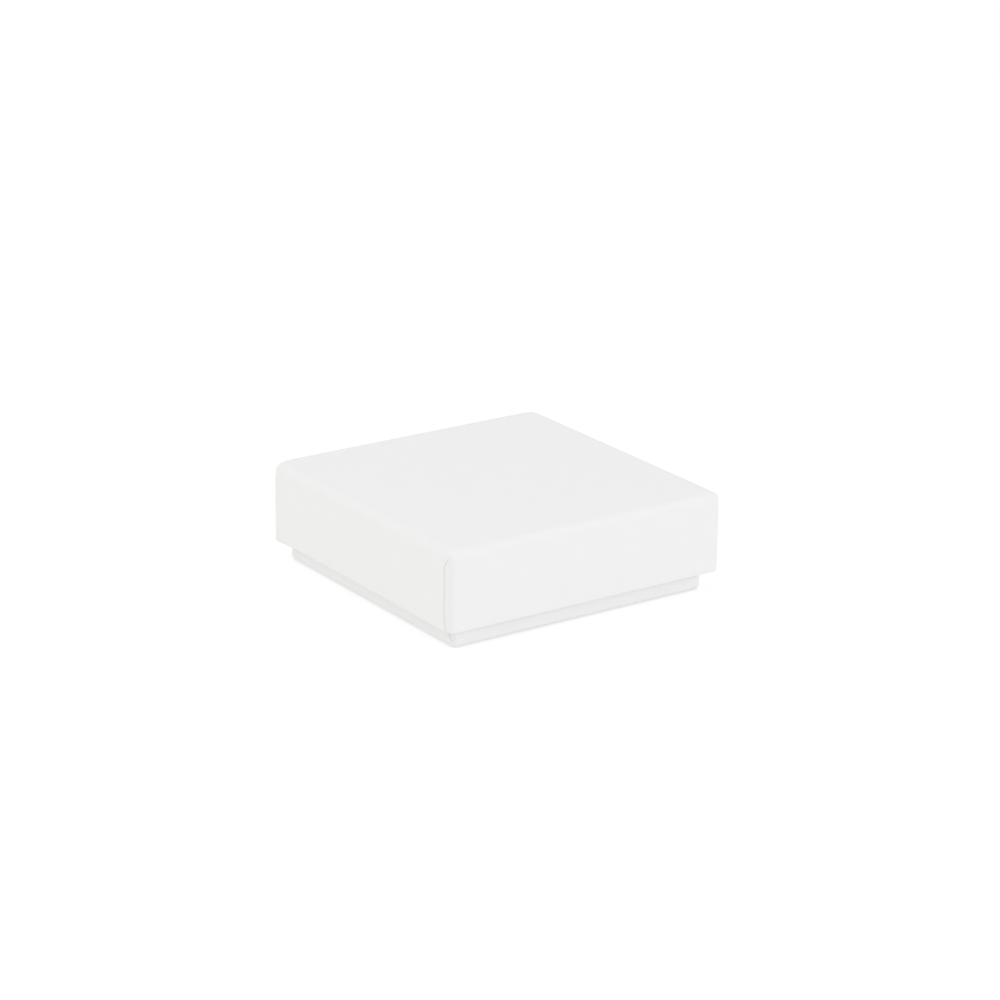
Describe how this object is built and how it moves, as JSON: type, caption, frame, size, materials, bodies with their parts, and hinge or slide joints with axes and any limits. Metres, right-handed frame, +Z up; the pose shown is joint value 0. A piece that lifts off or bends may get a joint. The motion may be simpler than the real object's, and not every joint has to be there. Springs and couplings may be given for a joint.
{
  "type": "jewelry gift box",
  "caption": "Square white paper-wrapped rigid box with a lift-off lid over a slightly smaller tray, holding a velvet-covered foam insert with slits for jewelry.",
  "frame": {"origin": "centre of the underside of the tray, on the surface the box stands on", "axes": "+Z up, the way the lid lifts; +X and +Y square to the sides. The lid's -Y side carries the visible side panel of the wrap"},
  "size_m": [0.08, 0.08, 0.0256],
  "materials": {
    "wrap_paper": "matte",
    "liner_paper": "matte",
    "greyboard": "matte",
    "kraft_tape": "matte",
    "foam": "matte",
    "velvet": "matte"
  },
  "bodies": {
    "tray": {"base_board": "greyboard", "base_wrap": "wrap_paper", "base_turn_in": "wrap_paper", "base_liner": "liner_paper", "base_corner_stay_1": "kraft_tape", "base_corner_stay_2": "kraft_tape", "base_corner_stay_3": "kraft_tape", "base_corner_stay_4": "kraft_tape"},
    "lid": {"lid_board": "greyboard", "lid_wrap": "wrap_paper", "lid_liner": "liner_paper", "lid_corner_stay_1": "kraft_tape", "lid_corner_stay_2": "kraft_tape", "lid_corner_stay_3": "kraft_tape", "lid_corner_stay_4": "kraft_tape"},
    "insert": {"insert_card": "greyboard", "insert_foam": "foam", "insert_velvet": "velvet"}
  },
  "joints": [
    {"name": "lid_lift", "type": "slide", "parent": "tray", "child": "lid", "axis": [0, 0, 1], "range_m": [0, 0.04]},
    {"name": "insert_lift", "type": "slide", "parent": "tray", "child": "insert", "axis": [0, 0, 1], "range_m": [0, 0.008]}
  ]
}
